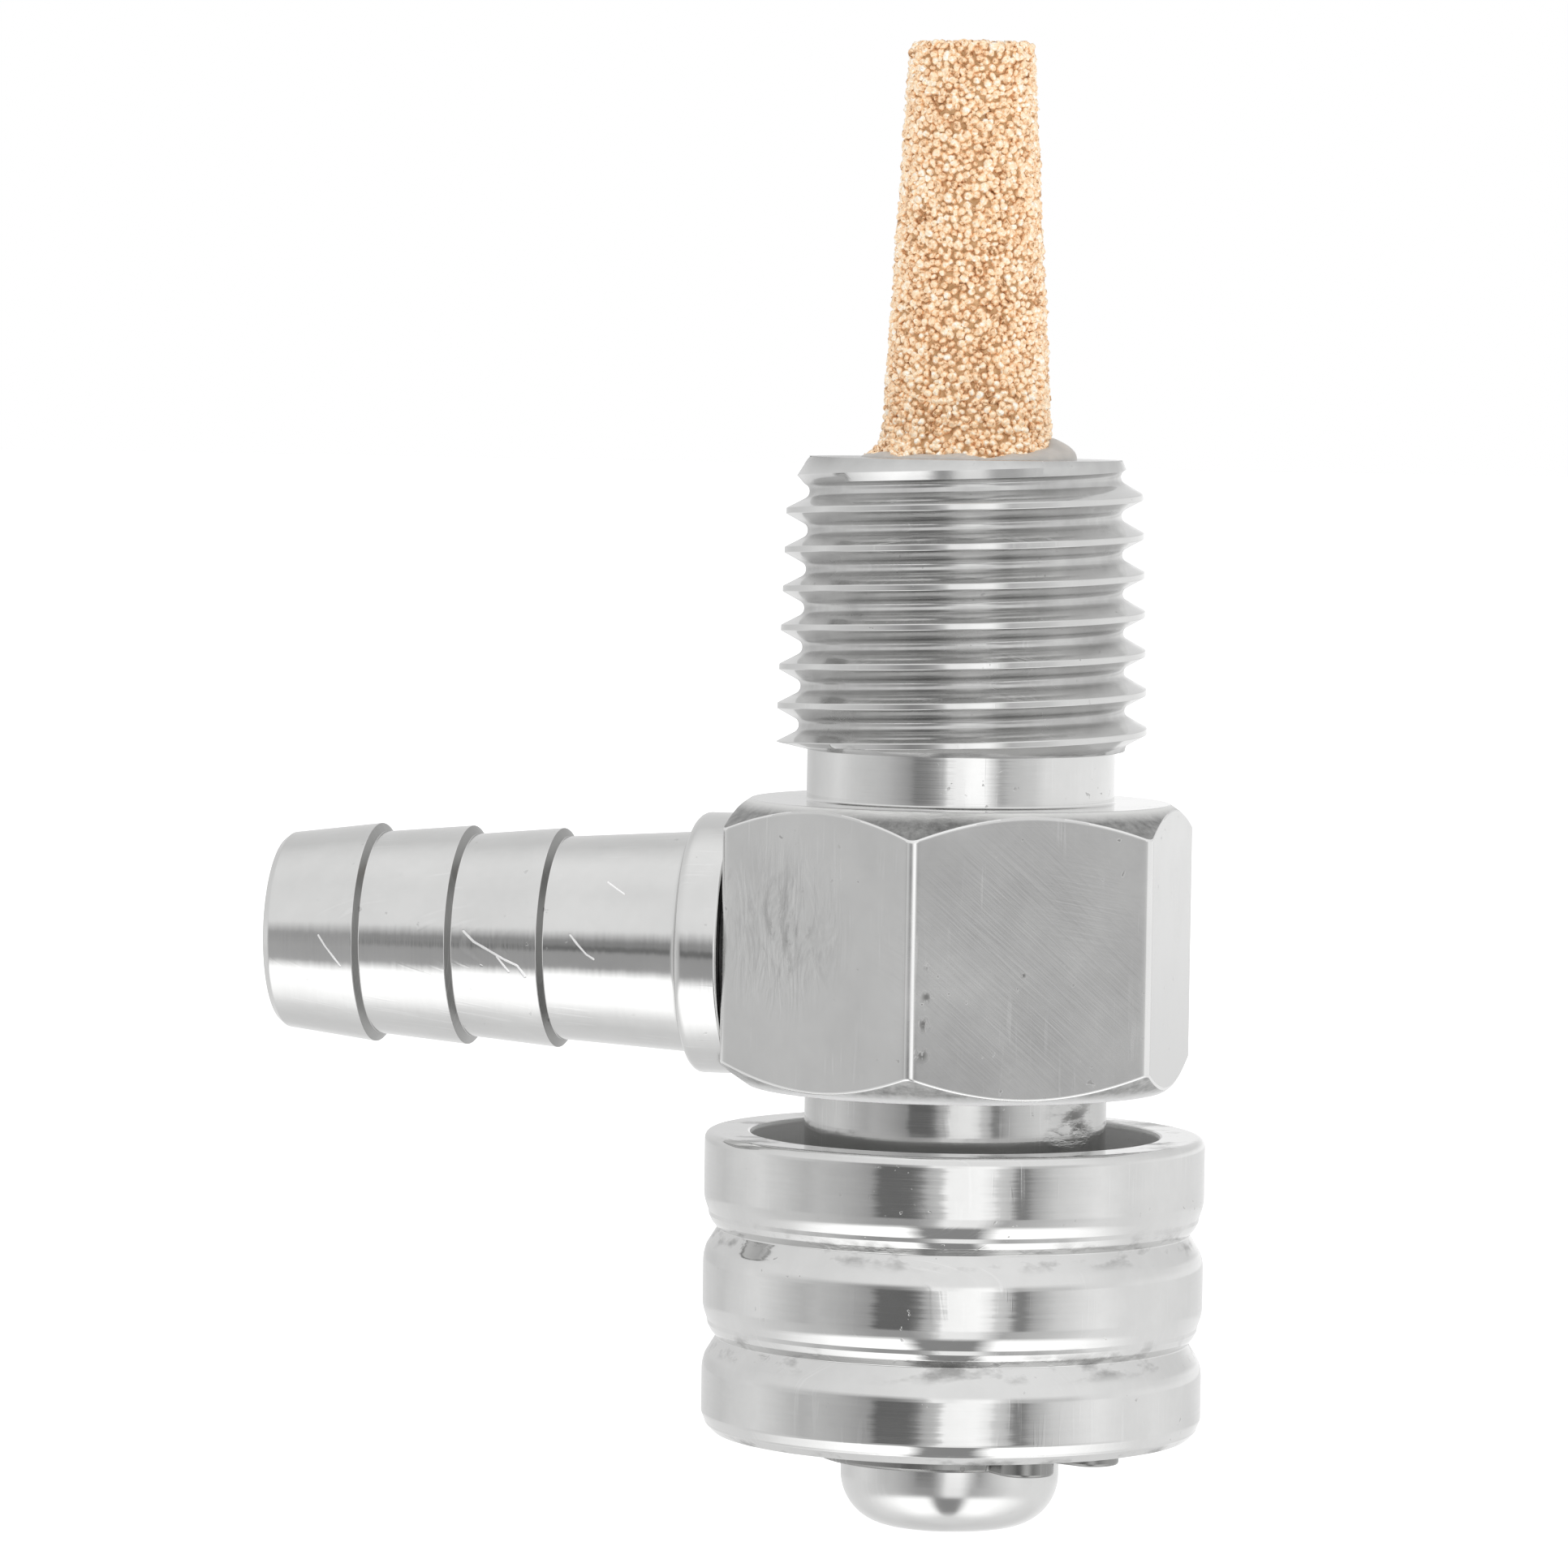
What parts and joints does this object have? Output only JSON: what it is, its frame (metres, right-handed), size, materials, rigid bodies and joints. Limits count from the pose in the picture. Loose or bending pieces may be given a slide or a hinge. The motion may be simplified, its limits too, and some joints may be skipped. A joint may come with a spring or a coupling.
{
  "type": "carbon dioxide diffuser",
  "caption": "Turned steel gas diffuser with a tapered sintered bronze element, side hose barb and a spring-closed push valve in a grooved sleeve.",
  "frame": {"origin": "on the thread's axis, at the hexagon's top face, where the threaded end begins", "axes": "+Z along the thread's axis towards the porous element, -X along the hose barb, Y square to both"},
  "size_m": [0.0351, 0.0186, 0.055],
  "materials": {
    "stainless_steel": "turned and polished stainless steel with light wear",
    "polished_steel": "bright polished stainless steel",
    "sintered_bronze": "porous sintered bronze, matt with bright grains",
    "clear_sealant": "pale cured thread sealant",
    "black_rubber": "smooth nitrile rubber",
    "spring_steel": "bright spring wire and pressed spring steel",
    "bush_brass": "turned brass"
  },
  "bodies": {
    "body": {"valve_body": "stainless_steel", "diffuser_element": "sintered_bronze", "bond_ring": "clear_sealant", "hose_barb": "polished_steel", "barb_seal": "black_rubber", "gland_bush": "bush_brass", "gland_seal": "black_rubber", "return_spring": "spring_steel"},
    "plunger": {"spindle": "stainless_steel", "spindle_seal_upper": "black_rubber", "spindle_seal_lower": "black_rubber", "spring_seat": "spring_steel", "valve_poppet": "bush_brass", "poppet_seal": "black_rubber", "push_button": "polished_steel", "retaining_ring": "spring_steel"},
    "sleeve": {"grip_sleeve": "polished_steel"}
  },
  "joints": [
    {"name": "plunger_push", "type": "slide", "parent": "body", "child": "plunger", "axis": [0, 0, 1], "range_m": [0, 0.0015], "stiffness_N_per_m": 1200, "springref_m": -0.002, "deforming": ["return_spring"]},
    {"name": "sleeve_turn", "type": "hinge", "parent": "plunger", "child": "sleeve", "pos_m": [0, 0, -0.0226], "axis": [0, 0, 1], "continuous": true}
  ]
}
